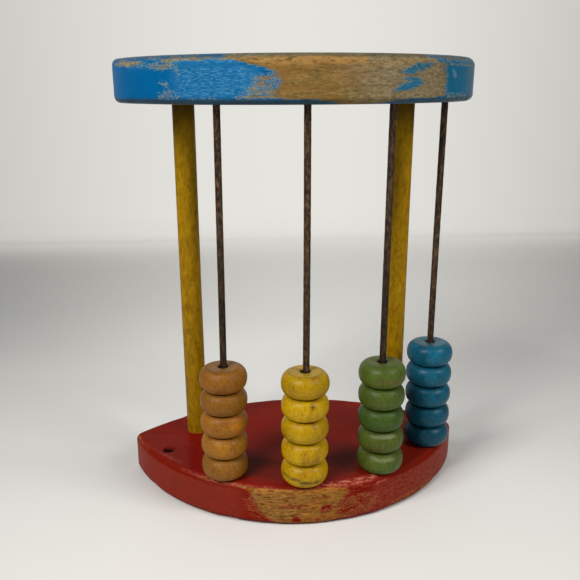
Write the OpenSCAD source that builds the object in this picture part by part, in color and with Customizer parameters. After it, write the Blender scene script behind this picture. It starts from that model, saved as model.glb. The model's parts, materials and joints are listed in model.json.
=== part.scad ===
// Toy abacus: a pointed base board and a matching top board, held apart by two dowel posts.
// Steel wires stand along the front arc, and five wooden beads slide on each of them.
// Millimetres, +Z up. The origin is on the base's underside, midway between the two points.
// The front of the toy faces -Y.

/* [Boards] */
// Length of both boards, from point to point, before the points are blunted
board_length = 178; // [150:1:220]
// Depth of both boards, from the front arc to the back arc
board_depth = 102.5; // [90:0.5:115]
// How far the back arc bulges behind the line through the points
back_bulge = 39; // [32:0.5:46]
// Thickness of each board
board_t = 20.5; // [18:0.5:26]
// Radius of the sanded edges, above and below
edge_r = 3.2; // [1:0.2:5]
// Length lost at each point, where it is sanded blunt
point_blunt = 0.8; // [0.4:0.1:2]
// Free height between the two boards
clear_height = 177.5; // [120:0.5:240]

/* [Posts] */
// Diameter of the dowels
post_d = 11; // [8:0.5:16]
// Distance from each point of the boards to the middle of its dowel, along the length
post_inset = 33.8; // [25:0.1:45]
// How far the dowels stand behind the line through the points
post_back = 2; // [0:0.5:10]
// Depth of the dowels' blind sockets
post_seat = 13; // [8:0.5:15]
// Glue gap round a dowel in its socket
post_gap = 0.05; // [0.02:0.01:0.2]

/* [Wires] */
// Diameter of the wires
wire_d = 3.2; // [2:0.1:4]
// Distance from the boards' front edge to the middle of a wire
wire_inset = 8.6; // [7:0.1:12]
// Angle between neighbouring wires, seen from the centre of the front arc
wire_angle = 26.7; // [20:0.1:28]
// Depth of the wires' blind holes
wire_seat = 10; // [6:0.5:15]
// Gap round a wire in its hole
wire_gap = 0.05; // [0.02:0.01:0.2]
// Width of the chipped mouth of the empty hole
mouth_d = 5.8; // [5:0.1:8]
// Depth of the chipped mouth
mouth_depth = 1.2; // [0.5:0.1:3]

/* [Beads] */
// Number of beads on each wire
beads_per_wire = 5; // [1:1:10]
// Diameter of a bead
bead_d = 22.7; // [19:0.1:26]
// Height of a bead
bead_h = 11.4; // [9:0.1:16]
// Radius that the rim of a bead is turned to, above and below
bead_rim_r = 4.6; // [2:0.1:5.6]
// Room between a wire and the bore of a bead, all round
bore_gap = 0.55; // [0.3:0.05:1]
// Width of the countersink at each end of the bore, beyond the bore's edge
countersink = 0.4; // [0.2:0.1:1]

/* [Hidden] */
$fn = 96;
half_length = board_length / 2;
front_bulge = board_depth - back_bulge;
front_r = arc_r(front_bulge);
back_r = arc_r(back_bulge);
front_centre_y = front_r - front_bulge;
back_centre_y = back_bulge - back_r;
top_z = board_t + clear_height;
wire_arc_r = front_r - wire_inset;
wire_hole_d = wire_d + 2 * wire_gap;
bore_d = wire_d + 2 * bore_gap;
rim_r = min(bead_rim_r, 0.48 * bead_h);
post_x = half_length - post_inset;
overrun = 1;

// The wires that are left, from left to right, and the colours of their beads
WIRES = ["orange", "yellow", "green", "blue"];
BEAD_COLOURS = ["peru", "goldenrod", "darkolivegreen", "steelblue"];
// Holes along the front arc. Hole 0, at the left end, has lost its wire.
wire_holes = len(WIRES) + 1;

function bead_name(wire, n) = str(wire, "_bead_", n);

// Radius of the arc through both points of the board with the given bulge
function arc_r(bulge) = (pow(board_length / 2, 2) + pow(bulge, 2)) / (2 * bulge);

// Angle of one wire hole from the middle of the front arc
function hole_angle(hole) = (hole - (wire_holes - 1) / 2) * wire_angle;

// Spot on the boards of one wire hole
function hole_spot(hole) = [
    wire_arc_r * sin(hole_angle(hole)),
    front_centre_y - wire_arc_r * cos(hole_angle(hole))
];

// Half of a turned disc's section, with rounded corners at its rim
module rounded_section(r, h, corner) {
    square([r - corner, h]);
    translate([0, corner]) square([r, h - 2 * corner]);
    for (z = [corner, h - corner]) translate([r - corner, z]) circle(corner);
}

// Disc of the boards' thickness with sanded edges
module board_disc(r) {
    rotate_extrude($fn = 360) rounded_section(r, board_t, edge_r);
}

// Pointed board: what two discs share, with a third disc that blunts the points
module board_blank() {
    intersection() {
        translate([0, front_centre_y, 0]) board_disc(front_r);
        translate([0, back_centre_y, 0]) board_disc(back_r);
        rotate([0, 0, 90]) board_disc(half_length - point_blunt);
    }
}

// Blind sockets for posts and wires, cut into a board from the height face_z.
// The direction is 1 where they open upwards and -1 where they open downwards.
module sockets(face_z, direction) {
    for (side = [-1, 1])
        translate([side * post_x, post_back, face_z])
            socket(post_d + 2 * post_gap, post_seat, direction);
    for (hole = [0 : wire_holes - 1])
        translate(concat(hole_spot(hole), face_z))
            socket(wire_hole_d, wire_seat, direction);
}

// One blind hole of the given depth, run past the face that it opens in
module socket(d, depth, direction) {
    translate([0, 0, direction > 0 ? -depth : -overrun]) cylinder(d = d, h = depth + overrun);
}

module base_board() {
    color("firebrick") difference() {
        board_blank();
        sockets(board_t, 1);
        translate(concat(hole_spot(0), board_t - mouth_depth))
            cylinder(d1 = wire_hole_d, d2 = mouth_d, h = mouth_depth);
    }
}

module top_board() {
    color("steelblue") translate([0, 0, top_z]) difference() {
        board_blank();
        sockets(0, -1);
    }
}

module post(side) {
    color("goldenrod") translate([side * post_x, post_back, board_t - post_seat])
        cylinder(d = post_d, h = clear_height + 2 * post_seat);
}

module wire(hole) {
    color("saddlebrown") translate(concat(hole_spot(hole), board_t - wire_seat))
        cylinder(d = wire_d, h = clear_height + 2 * wire_seat);
}

// One turned bead, the n-th from the bottom of the stack on the given hole's wire
module bead(hole, n, colour) {
    color(colour) translate(concat(hole_spot(hole), board_t + (n - 1) * bead_h)) difference() {
        rotate_extrude() rounded_section(bead_d / 2, bead_h, rim_r);
        translate([0, 0, -overrun]) cylinder(d = bore_d, h = bead_h + 2 * overrun);
        countersink_cut();
        translate([0, 0, bead_h]) mirror([0, 0, 1]) countersink_cut();
    }
}

// Cone that breaks the edge at the mouth of a bead's bore
module countersink_cut() {
    cylinder(d1 = bore_d + 2 * countersink, d2 = bore_d, h = countersink);
}

base_board();
top_board();
post(-1);  // left_post
post(1);  // right_post
for (i = [0 : len(WIRES) - 1]) {
    wire(i + 1);
    for (n = [1 : beads_per_wire])
        bead(i + 1, n, BEAD_COLOURS[i]);
}
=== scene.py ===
"""Toy abacus in a plain studio: worn painted boards, dowels, rusted wires and stained wooden beads."""

import json
import math
import random
from operator import mul

import bmesh
import bpy
import numpy as np
from bpy.props import FloatProperty, FloatVectorProperty, IntProperty, PointerProperty
from bpy.types import NodeSocket, Operator, Panel, PropertyGroup
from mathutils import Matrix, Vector, noise


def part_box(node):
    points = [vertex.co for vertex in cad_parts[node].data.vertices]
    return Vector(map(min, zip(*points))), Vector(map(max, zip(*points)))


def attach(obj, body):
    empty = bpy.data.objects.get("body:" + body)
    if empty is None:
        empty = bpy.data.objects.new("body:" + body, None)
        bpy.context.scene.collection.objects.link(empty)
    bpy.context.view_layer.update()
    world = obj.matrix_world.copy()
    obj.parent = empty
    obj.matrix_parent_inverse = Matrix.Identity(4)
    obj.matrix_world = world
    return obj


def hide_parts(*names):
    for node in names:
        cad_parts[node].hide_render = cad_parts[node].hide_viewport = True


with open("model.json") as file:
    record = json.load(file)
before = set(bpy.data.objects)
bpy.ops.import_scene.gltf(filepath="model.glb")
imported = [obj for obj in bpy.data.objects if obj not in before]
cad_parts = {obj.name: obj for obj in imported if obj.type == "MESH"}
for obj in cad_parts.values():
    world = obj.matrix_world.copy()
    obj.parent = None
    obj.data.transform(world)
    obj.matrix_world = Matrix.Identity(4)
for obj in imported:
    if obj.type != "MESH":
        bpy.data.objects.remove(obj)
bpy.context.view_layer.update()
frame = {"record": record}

bl_info = {
    "name": "Toy Abacus",
    "version": (1, 0, 0),
    "blender": (4, 5, 0),
    "location": "View3D > Sidebar > Abacus",
    "description": "Dresses a wooden toy abacus with worn paint, rusted wires and stained beads",
    "category": "Object",
}

MM = 0.001
PHOTO_SIZE = 580
SENSOR = 36.0

# Sizes that come from the frame
BASE_LOW, BASE_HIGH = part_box("base_board")
TOP_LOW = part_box("top_board")[0]
BOARD_T = BASE_HIGH.z - BASE_LOW.z
POINT_BLUNT = 0.8 * MM
HALF_LENGTH = BASE_HIGH.x + POINT_BLUNT
FRONT_BULGE = -BASE_LOW.y
BACK_BULGE = BASE_HIGH.y
EMPTY_HOLE = next(m for m in frame["record"]["mounts"] if m["name"] == "empty_wire_hole")
WIRES = ("orange", "yellow", "green", "blue")
BEADS_PER_WIRE = 5


def srgb(red, green, blue):
    """A colour as a screen shows it, 0 to 255, as Blender's linear red, green and blue."""
    return tuple(linear(value / 255) for value in (red, green, blue))


def linear(value):
    return value / 12.92 if value <= 0.04045 else ((value + 0.055) / 1.055) ** 2.4


# Settings that the sidebar shows


def colour_setting(name, description, default):
    return FloatVectorProperty(
        name=name, description=description, subtype="COLOR", default=default, min=0, max=1,
    )


def length_setting(name, description, default, least, most):
    """A length whose default and limits are given in mm."""
    return FloatProperty(
        name=name, description=description, unit="LENGTH", precision=5,
        default=default * MM, min=least * MM, max=most * MM,
    )


def share_setting(name, description, most=1.0):
    """A factor that is 1 by default."""
    return FloatProperty(
        name=name, description=description, subtype="FACTOR", default=1.0, min=0, max=most,
    )


def angle_setting(name, description, default):
    return FloatProperty(
        name=name, description=description, subtype="ANGLE", default=default, precision=5,
    )


# Materials


class Finish:
    """One material and short calls that add nodes to it."""

    def __init__(self, name):
        self.material = bpy.data.materials.new(name)
        self.material.use_nodes = True
        self.tree = self.material.node_tree
        self.shader = self.tree.nodes["Principled BSDF"]

    def put(self, socket, value):
        if isinstance(value, NodeSocket):
            self.tree.links.new(value, socket)
        elif isinstance(value, tuple) and len(value) == 3 and socket.type == "RGBA":
            socket.default_value = (*value, 1.0)
        else:
            socket.default_value = value

    def add(self, kind, inputs=None, **settings):
        node = self.tree.nodes.new(kind)
        for name, value in settings.items():
            setattr(node, name, value)
        for name, value in (inputs or {}).items():
            self.put(node.inputs[name], value)
        return node

    def set(self, **values):
        """Puts values on the shader's sockets, named with underscores for spaces."""
        for name, value in values.items():
            self.put(self.shader.inputs[name.replace("_", " ")], value)

    def millimetres(self, stretch=(1, 1, 1), shift=(0, 0, 0)):
        """Object coordinates in millimetres, stretched axis by axis."""
        place = self.add("ShaderNodeTexCoord").outputs["Object"]
        moved = self.add("ShaderNodeVectorMath", {0: place, 1: shift}, operation="SUBTRACT").outputs[0]
        scale = tuple(share / MM for share in stretch)
        return self.add("ShaderNodeVectorMath", {0: moved, 1: scale}, operation="MULTIPLY").outputs[0]

    def noise(self, vector, scale, detail, roughness, distortion=0.0):
        inputs = {"Vector": vector, "Scale": scale, "Detail": detail, "Roughness": roughness}
        inputs["Distortion"] = distortion
        return self.add("ShaderNodeTexNoise", inputs).outputs["Fac"]

    def grain(self, stretch, detail, roughness, distortion=0.0, shift=(0, 0, 0)):
        """Noise with features of about a millimetre, stretched axis by axis."""
        return self.noise(self.millimetres(stretch, shift), 1.0, detail, roughness, distortion)

    def spots(self, vector, scale, low, high):
        """Small round spots: 1 inside, falling to 0 between the two distances."""
        cells = self.add("ShaderNodeTexVoronoi", {"Vector": vector, "Scale": scale})
        return self.between(cells.outputs["Distance"], high, low)

    def mask(self, name):
        return self.add("ShaderNodeAttribute", attribute_name=name).outputs["Fac"]

    def math(self, operation, first, second, clamp=False):
        inputs = {0: first, 1: second}
        return self.add("ShaderNodeMath", inputs, operation=operation, use_clamp=clamp).outputs[0]

    def times(self, first, second):
        return self.math("MULTIPLY", first, second)

    def between(self, value, low, high):
        """0 at low and 1 at high, smooth in between."""
        inputs = {"Value": value, "From Min": low, "From Max": high}
        kind = "ShaderNodeMapRange"
        return self.add(kind, inputs, interpolation_type="SMOOTHSTEP").outputs["Result"]

    def mix(self, share, first, second):
        """A colour between two colours."""
        node = self.add("ShaderNodeMix", data_type="RGBA")
        self.put(node.inputs[0], share)
        self.put(node.inputs[6], first)
        self.put(node.inputs[7], second)
        return node.outputs[2]

    def blend(self, share, first, second):
        """A number between two numbers."""
        node = self.add("ShaderNodeMix", data_type="FLOAT")
        self.put(node.inputs[0], share)
        self.put(node.inputs[2], first)
        self.put(node.inputs[3], second)
        return node.outputs[0]

    def ramp(self, value, *stops):
        """Colours at places along a value: each stop is (place, colour)."""
        node = self.add("ShaderNodeValToRGB", {"Fac": value})
        points = node.color_ramp.elements
        while len(points) < len(stops):
            points.new(0.5)
        for point, (place, colour) in zip(points, stops):
            point.position = place
            point.color = (*colour, 1.0)
        return node.outputs["Color"]

    def bump(self, height, distance, strength, normal=None):
        inputs = {"Height": height, "Distance": distance, "Strength": strength}
        if normal is not None:
            inputs["Normal"] = normal
        return self.add("ShaderNodeBump", inputs).outputs["Normal"]


def scaled(colour, *factors):
    """A colour with its channels multiplied, all by one factor or each by its own."""
    return tuple(map(mul, colour, factors if len(factors) == 3 else factors * 3))


def lighter(colour, factor):
    """A colour multiplied by one factor, with no channel above 1."""
    return tuple(min(1.0, channel) for channel in scaled(colour, factor))


def bare_wood(finish, tones):
    """Colour and height of old handled wood, with its grain along the boards' length.
    It is golden where the polish mask says, from rubbed polish and a painted highlight, and greyer where
    the silver mask says."""
    tone, silver = tones["wood"], tones["silver"]
    grain = finish.grain((0.13, 0.5, 0.85), 4.0, 0.6, 0.3)
    fine = finish.grain((0.42, 0.9, 1.5), 3.0, 0.6)
    fibres = finish.blend(0.55, grain, fine)
    bands = finish.grain((0.03, 0.1, 0.16), 3.0, 0.6, 0.6)
    colour = finish.ramp(fibres, (0.38, scaled(tone, 0.58)), (0.5, tone), (0.62, scaled(tone, 1.5)))
    greyed = finish.ramp(fibres, (0.38, scaled(silver, 0.6)), (0.5, silver), (0.62, scaled(silver, 1.4)))
    warm = finish.times(finish.between(bands, 0.46, 0.66), 0.7)
    colour = finish.mix(warm, colour, scaled(tone, 1.2, 0.95, 0.7))
    colour = finish.mix(finish.mask("silver"), colour, greyed)
    streaks = finish.grain((0.2, 0.5, 0.85), 5.0, 0.66, shift=(0.04, 0, 0))
    flecked = finish.times(finish.between(streaks, 0.54, 0.6), tones["fleck_share"])
    colour = finish.mix(flecked, colour, tones["flecks"])
    pores = finish.spots(finish.millimetres((0.5, 0.5, 1)), 0.9, 0.1, 0.3)
    colour = finish.mix(finish.times(pores, 0.5), colour, scaled(tone, 0.35))
    # Golden where the polish mask says: rubbed polish, partly a painted highlight
    rubbed = finish.times(finish.mask("polish"), finish.between(fibres, 0.4, 0.55))
    colour = finish.mix(rubbed, colour, scaled(tone, 1.9, 1.6, 1.5))
    return colour, fibres


def worn_paint(name, settings, tones):
    """Brushed paint over wood: thin, then gone, as the wear mask rises. The scuff mask scratches it,
    the polish mask gives it a second tone and a painted sheen, the grime mask dirties it and paints shade
    on it, and the pit mask paints the shade inside a hole."""
    finish = Finish(name)
    paint = tones["paint"]
    streaks = finish.grain((0.16, 0.3, 1.0), 6.0, 0.68)
    flakes = finish.grain((1.0, 1.0, 1.6), 5.0, 0.66)
    ragged = finish.math("SUBTRACT", finish.blend(0.5, streaks, flakes), 0.5)
    loss = finish.times(finish.mask("wear"), settings.wear)
    partly = finish.math("MULTIPLY", loss, finish.math("SUBTRACT", 1.0, loss, clamp=True))
    spread = finish.math("ADD", finish.times(partly, 9.0), 2.0)
    edge = finish.math("ADD", loss, finish.times(ragged, spread))
    thin = finish.between(edge, 0.38, 0.58)
    bare = finish.times(finish.between(edge, 0.58, 0.84), finish.between(loss, 0.3, 0.62))

    tone = finish.grain((0.04, 0.06, 0.12), 4.0, 0.6)
    brushed = finish.grain((0.06, 0.7, 1.3), 4.0, 0.6)
    colour = finish.mix(finish.between(tone, 0.4, 0.7), paint, tones["worn"])
    shade = finish.times(finish.between(brushed, 0.52, 0.66), 0.35)
    colour = finish.mix(shade, colour, scaled(tones["worn"], 0.55))
    # A second tone where the polish mask says; on the base board it is a painted sheen and reflection
    colour = finish.mix(finish.mask("polish"), colour, tones["polished_and_sheen"])
    scratches = finish.grain((0.4, 0.5, 3.2), 3.0, 0.6)
    scuff = finish.mask("scuff")
    lines = finish.blend(finish.between(scratches, 0.46, 0.6), 0.1, 1.0)
    lines = finish.blend(finish.between(scuff, 0.25, 0.5), 0.4, lines)
    scuffed = finish.times(scuff, lines)
    colour = finish.mix(scuffed, colour, tones["scratch"])
    specks = finish.times(finish.spots(finish.millimetres(), 0.2, 0.03, 0.1), tones["specks"])
    colour = finish.mix(specks, colour, tones["scratch"])

    wood, fibres = bare_wood(finish, tones)
    see_through = finish.blend(finish.between(flakes, 0.4, 0.6), 0.4, 0.85)
    colour = finish.mix(finish.times(thin, see_through), colour, tones["thin"])
    colour = finish.mix(bare, colour, wood)
    # Dirt, and painted shade, where the grime mask says
    film = finish.noise(finish.millimetres(), 0.2, 4.0, 0.6)
    dirt_and_shade = finish.math("MULTIPLY", finish.mask("grime"), finish.blend(film, 0.55, 1.2), clamp=True)
    colour = finish.mix(dirt_and_shade, colour, tones["dirt_and_shade"])
    # Painted shade inside the empty hole and round its mouth
    colour = finish.mix(finish.mask("pit"), colour, srgb(30, 12, 8))
    finish.set(Base_Color=colour, Specular_IOR_Level=tones["shine"])

    gloss = finish.blend(finish.between(brushed, 0.3, 0.7), 0.28, 0.4)
    gloss = finish.blend(scuffed, gloss, 0.5)
    finish.set(Roughness=finish.blend(finish.math("MAXIMUM", bare, finish.mask("pit")), gloss, 0.66))
    coat = finish.bump(finish.math("SUBTRACT", 1.0, bare), 0.12 * MM, 0.8)
    brushing = finish.bump(brushed, 0.04 * MM, 0.5, coat)
    grain = finish.blend(bare, 0.5, fibres)
    finish.set(Normal=finish.bump(grain, 0.3 * MM, 0.7, brushing))
    return finish.material


def dowel_paint(settings):
    """Mustard paint on a dowel, thin over a golden-brown grain that runs along it."""
    finish = Finish("dowel_paint")
    grain = finish.grain((1.4, 1.4, 0.06), 6.0, 0.62)
    patches = finish.grain((0.5, 0.5, 0.22), 7.0, 0.72)
    paint = tuple(settings.paint)
    brown = tuple(settings.undertone)
    colour = finish.ramp(patches, (0.36, lighter(paint, 1.3)), (0.5, paint), (0.74, brown))
    colour = finish.mix(finish.times(finish.between(grain, 0.5, 0.7), 0.25), colour, brown)
    specks = finish.times(finish.spots(finish.millimetres((1, 1, 0.7)), 0.4, 0.04, 0.14), 0.5)
    colour = finish.mix(specks, colour, scaled(brown, 0.4))
    glints = finish.times(finish.spots(finish.millimetres((1, 1, 0.8)), 0.62, 0.06, 0.18), 0.6)
    colour = finish.mix(glints, colour, srgb(190, 164, 62))
    foot = finish.times(finish.mask("foot"), 0.8)
    colour = finish.mix(foot, colour, srgb(176, 112, 20))
    # Painted shade where the shade mask says
    colour = finish.mix(finish.mask("shade"), colour, scaled(brown, 0.3))
    finish.set(Base_Color=colour, Roughness=finish.blend(patches, 0.3, 0.55))
    finish.set(Specular_IOR_Level=0.08)
    ridges = finish.bump(grain, 0.1 * MM, 0.7)
    finish.set(Normal=finish.bump(patches, 0.25 * MM, 0.3, ridges))
    return finish.material


def rusted_wire(settings):
    """Dark iron wire with brown rust, pits and a few rubbed places."""
    finish = Finish("rusted_wire")
    rust = finish.grain((0.8, 0.8, 0.35), 7.0, 0.66)
    pits = finish.noise(finish.millimetres(), 2.2, 4.0, 0.6)
    rubbed = finish.grain((0.2, 0.2, 0.08), 4.0, 0.6)
    dark, brown = tuple(settings.dark), tuple(settings.rust)
    black = scaled(dark, 0.4)
    colour = finish.ramp(rust, (0.4, dark), (0.53, brown), (0.68, scaled(brown, 2.6)))
    colour = finish.mix(finish.between(pits, 0.58, 0.66), colour, black)
    colour = finish.mix(finish.mask("shade"), colour, black)
    worn = finish.times(finish.between(rubbed, 0.55, 0.7), 0.35)
    colour = finish.mix(worn, colour, srgb(98, 82, 58))
    finish.set(Base_Color=colour, Metallic=finish.blend(worn, 0.2, 0.6))
    finish.set(Roughness=finish.blend(rust, 0.45, 0.75), Specular_IOR_Level=0.22)
    finish.set(Normal=finish.bump(finish.blend(0.5, rust, pits), 0.25 * MM, 0.8))
    return finish.material


def stained_bead(name, centre, stain, undertone, gloss, dust, marks):
    """Stained turned wood. Its grain runs along the bead's axis, so it shows as lines round the rim."""
    finish = Finish(name)
    lines = finish.grain((2.6, 2.6, 0.14), 5.0, 0.68, shift=tuple(centre))
    turning = finish.grain((0.05, 0.05, 3.2), 3.0, 0.5, shift=tuple(centre))
    clouds = finish.noise(finish.millimetres((1, 1, 0.6)), 0.13, 5.0, 0.62)
    mottle = finish.noise(finish.millimetres(), 0.8, 4.0, 0.65)
    dark = scaled(undertone, 0.5)
    colour = finish.ramp(clouds, (0.32, undertone), (0.46, stain), (0.7, lighter(stain, 1.25)))
    colour = finish.mix(finish.times(finish.between(mottle, 0.5, 0.64), 0.34), colour, dark)
    colour = finish.mix(finish.times(finish.between(lines, 0.5, 0.66), 0.46), colour, dark)
    pale_lines = finish.times(finish.between(lines, 0.48, 0.36), 0.5)
    colour = finish.mix(pale_lines, colour, lighter(stain, 1.5))
    rings = finish.times(finish.between(turning, 0.56, 0.7), 0.2)
    colour = finish.mix(rings, colour, dark)
    pores = finish.spots(finish.millimetres((1, 1, 0.4), tuple(centre)), 1.1, 0.06, 0.16)
    colour = finish.mix(finish.times(pores, 0.5), colour, dark)
    grey = sum(stain) / 3
    dusty = finish.mix(0.5, stain, (grey * 1.3, grey * 1.25, grey * 0.9))
    colour = finish.mix(finish.times(finish.mask("dust"), dust), colour, dusty)
    # Dirt and painted shade in the crevices
    dirt_and_shade = finish.times(finish.mask("crevice"), 0.8)
    colour = finish.mix(dirt_and_shade, colour, scaled(undertone, 0.14))
    for place, size, tint, strength in marks:
        from_mark = finish.millimetres([1 / half for half in size], place)
        gap = finish.add("ShaderNodeVectorMath", {0: from_mark}, operation="LENGTH").outputs["Value"]
        patchy = finish.math("ADD", gap, finish.times(mottle, 1.4))
        share = finish.times(finish.between(patchy, 1.7, 0.9), strength)
        colour = finish.mix(share, colour, tint)
    finish.set(Base_Color=colour, Roughness=finish.blend(clouds, gloss, gloss + 0.14))
    finish.set(Specular_IOR_Level=0.18)
    ridges = finish.bump(turning, 0.04 * MM, 0.6)
    finish.set(Normal=finish.bump(lines, 0.06 * MM, 0.6, ridges))
    return finish.material


# Mesh tools

# Angles in degrees from which an edge shows as sharp
SHARP_ANGLE = 50
SHARP_BEAD_ANGLE = 60


def ring_faces(rows, columns, closed=False):
    """Quads between neighbouring rings of points. A closed set joins its last ring to its first."""
    faces = []
    for row in range(rows if closed else rows - 1):
        here, above = row * columns, (row + 1) % rows * columns
        for column in range(columns):
            beside = (column + 1) % columns
            faces.append((here + column, here + beside, above + beside, above + column))
    return faces


def new_piece(name, points, faces):
    mesh = bpy.data.meshes.new(name)
    mesh.from_pydata([tuple(point) for point in points], [], faces)
    piece = bpy.data.objects.new(name, mesh)
    bpy.context.scene.collection.objects.link(piece)
    return piece


def finish_piece(piece, material, node, body, sharp_angle):
    """Shades a piece, gives it its material and lets it stand for its node."""
    for face in piece.data.polygons:
        face.use_smooth = True
    piece.data.set_sharp_from_angle(angle=math.radians(sharp_angle))
    piece.data.materials.append(material)
    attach(piece, body)
    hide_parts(node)


def write_mask(piece, name, values):
    """Keeps a number from 0 to 1 on each vertex for the materials."""
    layer = piece.data.attributes.new(name, "FLOAT", "POINT")
    layer.data.foreach_set("value", np.clip(values, 0, 1).astype(np.float32))


def vertices_of(piece):
    places = np.zeros(len(piece.data.vertices) * 3, np.float32)
    piece.data.vertices.foreach_get("co", places)
    return places.reshape(-1, 3).astype(float)


def normals_of(piece):
    directions = np.zeros(len(piece.data.vertices) * 3, np.float32)
    piece.data.vertex_normals.foreach_get("vector", directions)
    return directions.reshape(-1, 3).astype(float)


def wander(points, scale, seed):
    """Smooth noise from -1 to 1 at each point, with features of about 1 / scale."""
    offset = Vector((seed * 7.3, seed * 3.1, seed * 5.7))
    return np.array([noise.noise(Vector(point) * scale + offset) for point in points])


def smooth_step(value, low, high):
    """0 at low and 1 at high, smooth in between."""
    share = np.clip((value - low) / (high - low), 0, 1)
    return share * share * (3 - 2 * share)


def press_dents(points, directions, dents):
    """Pushes points in, against their directions, under each dent (place, radius, depth)."""
    for place, radius, depth in dents:
        gap = np.linalg.norm(points - np.array(place), axis=1) / radius
        push = depth * np.clip(1 - gap * gap, 0, 1) ** 2
        points -= directions * push[:, None]


# Where pieces put together by hand stand beside their exact places, in mm.
# How far the foot, the head and the middle of each rod lean to the right:
SWAY = {
    "left_post": (0.55, -0.1, -0.22),
    "right_post": (-0.35, -0.15, -0.25),
    "orange_wire": (0.12, 0.58, 0.0),
    "yellow_wire": (0.1, 0.5, 0.26),
    "green_wire": (-0.05, 0.68, -0.1),
    "blue_wire": (0.35, 0.8, -0.3),
}
# How far each board sits to the right and above, and how much its right end rises for each mm of length
SEAT = {"base_board": (0.2, 0.0, 0.0), "top_board": (0.5, -0.1, 0.0035)}
# How far each bead sits to the right of its wire's middle, from the bottom bead upwards
BEAD_SLIP = {
    "orange": (-0.2, -0.2, -0.15, -0.08, 0.0),
    "yellow": (-0.1, -0.08, -0.03, -0.03, 0.0),
    "green": (0.4, 0.35, 0.2, 0.1, 0.08),
    "blue": (0.7, 0.62, 0.4, 0.3, 0.22),
}
# How much wider the beads of a wire are turned
BEAD_SWELL = {"orange": 0.0, "yellow": 0.0, "green": 0.0, "blue": 0.25}


# Boards

OUTLINE_STEP = 0.9 * MM
HOLE_GAP = 0.04 * MM
# How far a cutter runs past the face that its hole opens in, and how many sides it has
OVERRUN = 1.0 * MM
CUTTER_SIDES = 40
# Softness of a patch's upper and lower bound, in mm
ROW_SOFT = 0.8
# The empty hole's chipped mouth, as (radius, height above the face) in mm
CHIPPED_MOUTH = ((1.7, -1.8), (2.2, -1.1), (2.7, -0.5), (3.1, 0.0), (3.5, 0.6))
NOSE_SAMPLES = 12
ROUND_STEPS = 7
SIDE_STEPS = 14
FLAT_SCALES = (0.05, 0.15, 0.3, 0.45, 0.58, 0.69, 0.77, 0.83, 0.875, 0.905, 0.93, 0.955, 0.98)
# How the sides swell, as (width of a swelling, depth), and how the edges are rubbed down
SWELLS = ((14 * MM, 0.16 * MM), (4 * MM, 0.05 * MM))
RUB_WIDTH, RUB_DEPTH = 9 * MM, 0.45 * MM
# Radius and depth of the knocks in mm, and how far their middles lie inside the side and the faces
DENT_RADIUS = (0.9, 2.6)
DENT_DEPTH = (0.12, 0.45)
DENT_SINK = 0.6 * MM
DENT_INSET = 0.8 * MM
# Strength and width of the slow drift in the wear
DRIFT, DRIFT_WIDTH = 0.1, 22 * MM
# Reach of the painted shade round the empty hole, and how ragged its mouth is
PIT_REACH = 3.4 * MM
MOUTH_RAGGED = 0.22

FRONT_R = (HALF_LENGTH**2 + FRONT_BULGE**2) / (2 * FRONT_BULGE)
FRONT_CENTRE_Y = FRONT_R - FRONT_BULGE
BACK_R = (HALF_LENGTH**2 + BACK_BULGE**2) / (2 * BACK_BULGE)
BACK_CENTRE_Y = BACK_BULGE - BACK_R


def board_outline(nose):
    """Points and outward directions round the pointed outline, anticlockwise.
    It starts where the back arc meets the right-hand nose."""
    front_r, front_y, back_r, back_y = FRONT_R, FRONT_CENTRE_Y, BACK_R, BACK_CENTRE_Y
    spread = (front_r - nose) ** 2 - (back_r - nose) ** 2
    nose_y = (spread - front_y**2 + back_y**2) / (2 * (back_y - front_y))
    nose_x = math.sqrt((front_r - nose) ** 2 - (nose_y - front_y) ** 2)
    back_end = math.atan2(nose_y - back_y, nose_x)
    front_end = math.atan2(nose_y - front_y, nose_x)
    half_turn, turn = math.pi, math.tau
    arcs = (
        (0, back_y, back_r, back_end, half_turn - back_end),
        (-nose_x, nose_y, nose, half_turn - back_end, half_turn - front_end),
        (0, front_y, front_r, half_turn - front_end, turn + front_end),
        (nose_x, nose_y, nose, turn + front_end, turn + back_end),
    )
    points, directions = [], []
    for x, y, radius, start, end in arcs:
        samples = NOSE_SAMPLES if radius == nose else int(radius * (end - start) / OUTLINE_STEP)
        for sample in range(samples):
            angle = start + (end - start) * sample / samples
            way = (math.cos(angle), math.sin(angle))
            directions.append(way)
            points.append((x + radius * way[0], y + radius * way[1]))
    return np.array(points), np.array(directions)


def board_rows(edge):
    """The side's section from below to above: inset, height and outward slope of each row."""
    rows = []
    for step in range(ROUND_STEPS + 1):
        angle = -math.pi / 2 + math.pi / 2 * step / ROUND_STEPS
        rows.append((edge * (1 - math.cos(angle)), edge * (1 + math.sin(angle)), angle))
    for step in range(1, SIDE_STEPS):
        rows.append((0.0, edge + (BOARD_T - 2 * edge) * step / SIDE_STEPS, 0.0))
    for step in range(ROUND_STEPS + 1):
        angle = math.pi / 2 * step / ROUND_STEPS
        height = BOARD_T - edge + edge * math.sin(angle)
        rows.append((edge * (1 - math.cos(angle)), height, angle))
    return rows


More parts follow.
